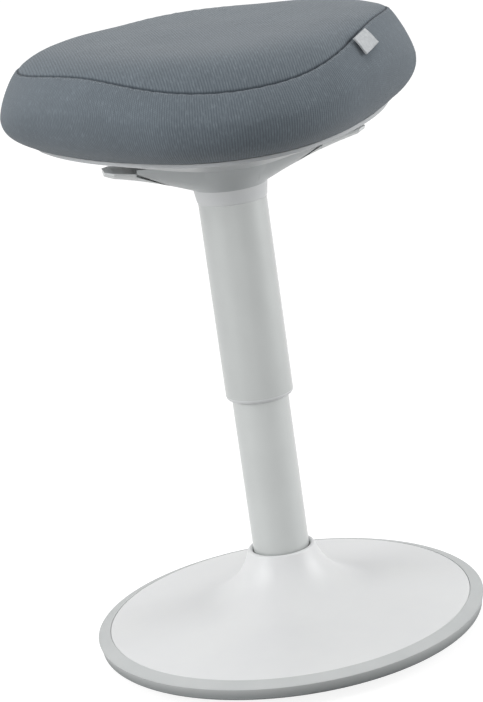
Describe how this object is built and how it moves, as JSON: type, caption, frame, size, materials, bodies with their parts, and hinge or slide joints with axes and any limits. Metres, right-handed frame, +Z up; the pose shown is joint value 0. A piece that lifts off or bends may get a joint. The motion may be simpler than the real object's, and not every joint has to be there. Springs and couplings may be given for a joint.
{
  "type": "wobble stool",
  "caption": "Height-adjustable wobble stool: cushioned seat on a telescoping column with release levers, on a round weighted base with a curved rocking underside.",
  "frame": {"origin": "centre of the flat land under the base, on the floor and on the column's axis", "axes": "+Z up along the column; -Y towards the front of the stool, where the seat's nose points; the seat and its levers are turned 8 degrees anticlockwise about the column"},
  "size_m": [0.3629, 0.3679, 0.5507],
  "materials": {
    "shell_plastic": "satin pale grey",
    "hub_plastic": "satin mid grey",
    "lever_plastic": "satin pale grey",
    "collar_plastic": "satin grey",
    "column_paint": "silver-grey powder coat",
    "inner_plastic": "dark moulded",
    "white_plastic": "natural moulded",
    "grey_rubber": "soft grey",
    "black_rubber": "matte",
    "iron": "painted casting",
    "steel": "bright zinc",
    "black_steel": "black enamel",
    "plywood": "raw birch plywood",
    "seat_fabric": "ribbed blue-grey knit",
    "tag_fabric": "pale grey woven tape"
  },
  "bodies": {
    "base": {"rocker_sole": "inner_plastic", "rubber_ring": "grey_rubber", "base_weight": "iron", "base_shell": "shell_plastic", "base_screws": "steel", "column_tube": "column_paint", "guide_bush": "white_plastic", "lower_washer": "steel", "thrust_ring": "white_plastic"},
    "lift_rod": {"upper_washer": "steel", "stop_buffer": "black_rubber", "piston_rod": "steel", "piston": "white_plastic", "rod_clip": "steel"},
    "seat": {"gas_cylinder": "black_steel", "rod_guide": "inner_plastic", "valve_body": "inner_plastic", "column_sleeve": "column_paint", "sleeve_end_ring": "collar_plastic", "sleeve_collar": "collar_plastic", "hub_housing": "hub_plastic", "lever_pins": "steel", "seat_plate": "black_steel", "plate_bolts": "steel", "tee_nuts": "steel", "hub_screws": "steel", "undershell": "hub_plastic", "seat_board": "plywood", "seat_cushion": "seat_fabric", "fabric_tag": "tag_fabric"},
    "left_lever": {"lever_left": "lever_plastic"},
    "right_lever": {"lever_right": "lever_plastic"},
    "release": {"release_yoke": "white_plastic", "release_pin": "steel"}
  },
  "joints": [
    {"name": "seat_swivel", "type": "hinge", "parent": "base", "child": "lift_rod", "pos_m": [0, 0, 0.0185], "axis": [0, 0, 1], "continuous": true},
    {"name": "seat_height", "type": "slide", "parent": "lift_rod", "child": "seat", "axis": [0, 0, 1], "range_m": [-0.12, 0.02]},
    {"name": "left_lever_lift", "type": "hinge", "parent": "seat", "child": "left_lever", "pos_m": [-0.04159, -0.00585, 0.436], "axis": [-0.1392, 0.9903, 0], "range_deg": [0, 4], "stiffness_Nm_per_rad": 10},
    {"name": "right_lever_lift", "type": "hinge", "parent": "seat", "child": "right_lever", "pos_m": [0.04159, 0.00585, 0.436], "axis": [0.1392, -0.9903, 0], "range_deg": [0, 4.5]},
    {"name": "release_press", "type": "slide", "parent": "seat", "child": "release", "axis": [0, 0, -1], "range_m": [0, 0.003]}
  ],
  "couplings": [
    {"joint": "right_lever_lift", "follows": "left_lever_lift", "ratio": 1},
    {"joint": "release_press", "follows": "left_lever_lift", "m_per_rad": 0.0358}
  ]
}
